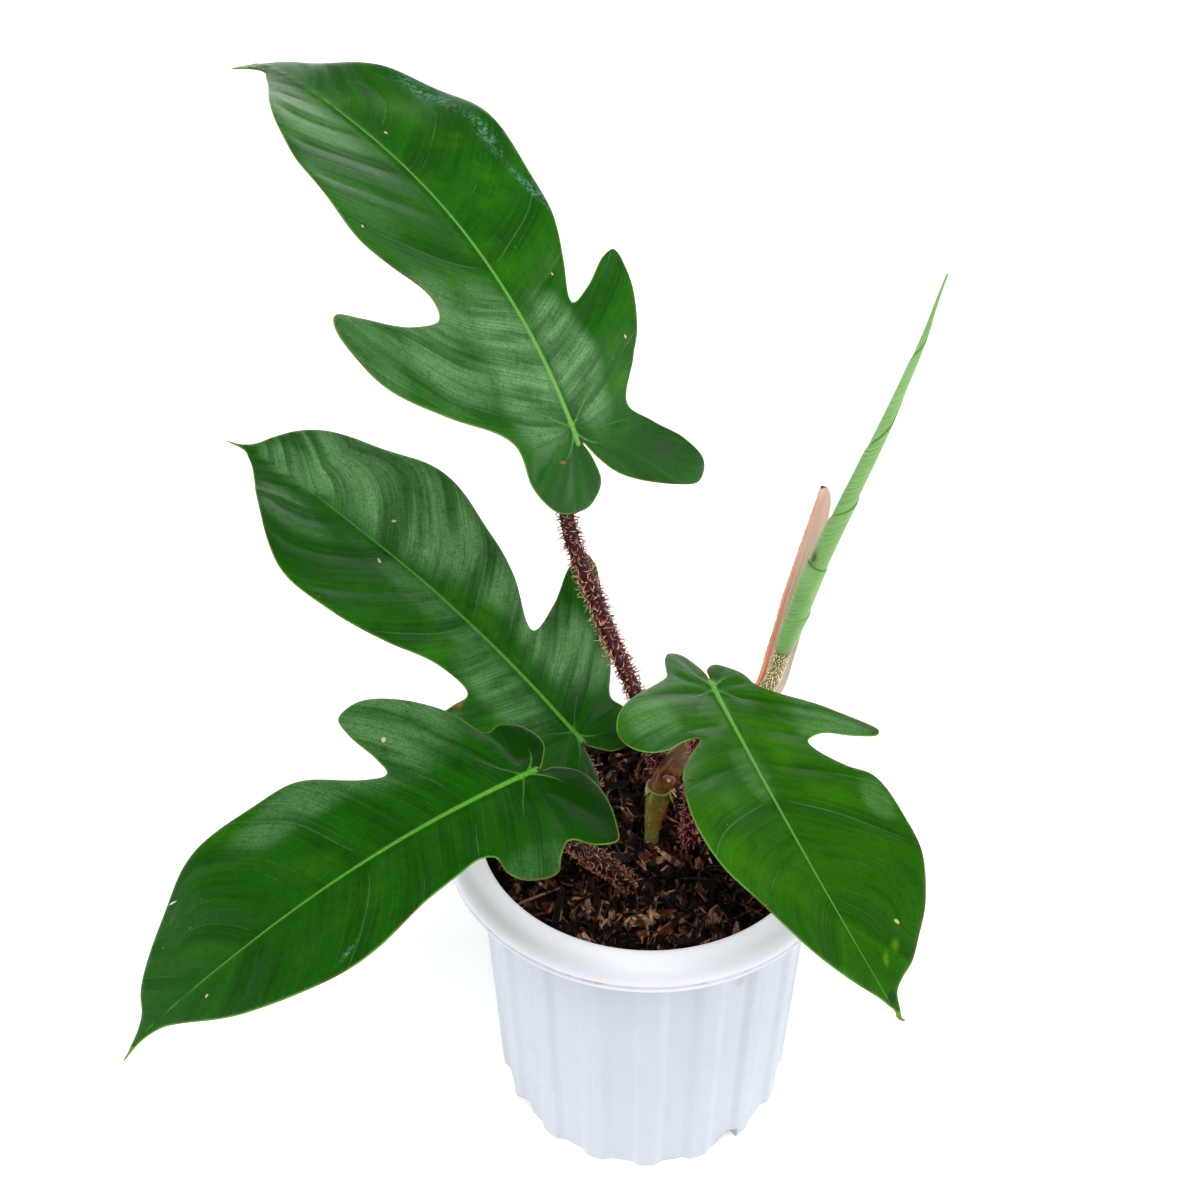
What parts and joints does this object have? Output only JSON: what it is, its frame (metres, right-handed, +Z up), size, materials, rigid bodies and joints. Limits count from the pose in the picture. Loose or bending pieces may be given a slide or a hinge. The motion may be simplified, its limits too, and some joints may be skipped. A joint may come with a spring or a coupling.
{
  "type": "potted philodendron squamiferum",
  "caption": "Potted squamiferum philodendron: lobed glossy leaves on bristly maroon stalks, a rolled new leaf and its sheath, in bark soil in a ribbed pot with a rolled rim.",
  "frame": {"origin": "middle of the pot's flat underside, on the surface that it stands on", "axes": "+Z up; the side of the plant that faces the camera in the picture is -Y, and +X is to its right"},
  "size_m": [0.2504, 0.2411, 0.3861],
  "materials": {
    "pot_plastic": "satin white moulded polypropylene",
    "potting_bark": "damp dark bark chips and husk",
    "stem_bark": "smooth olive to brown-red living stem",
    "petiole_skin": "maroon skin with pink and tan fleshy bristles",
    "leaf_skin": "glossy deep green leaf with light veins",
    "new_stalk_skin": "yellow-green skin with small warts",
    "new_leaf_skin": "soft light green rolled leaf",
    "sheath_skin": "peach and pale pink thin fleshy sheath"
  },
  "bodies": {
    "root": {"pot": "pot_plastic", "soil": "potting_bark", "stem": "stem_bark", "leaf_1_petiole": "petiole_skin", "leaf_1_blade": "leaf_skin", "leaf_2_petiole": "petiole_skin", "leaf_2_blade": "leaf_skin", "leaf_3_petiole": "petiole_skin", "leaf_3_blade": "leaf_skin", "leaf_4_petiole": "petiole_skin", "leaf_4_blade": "leaf_skin", "new_leaf_petiole": "new_stalk_skin", "new_leaf_rolled": "new_leaf_skin", "new_leaf_sheath": "sheath_skin"}
  },
  "joints": []
}
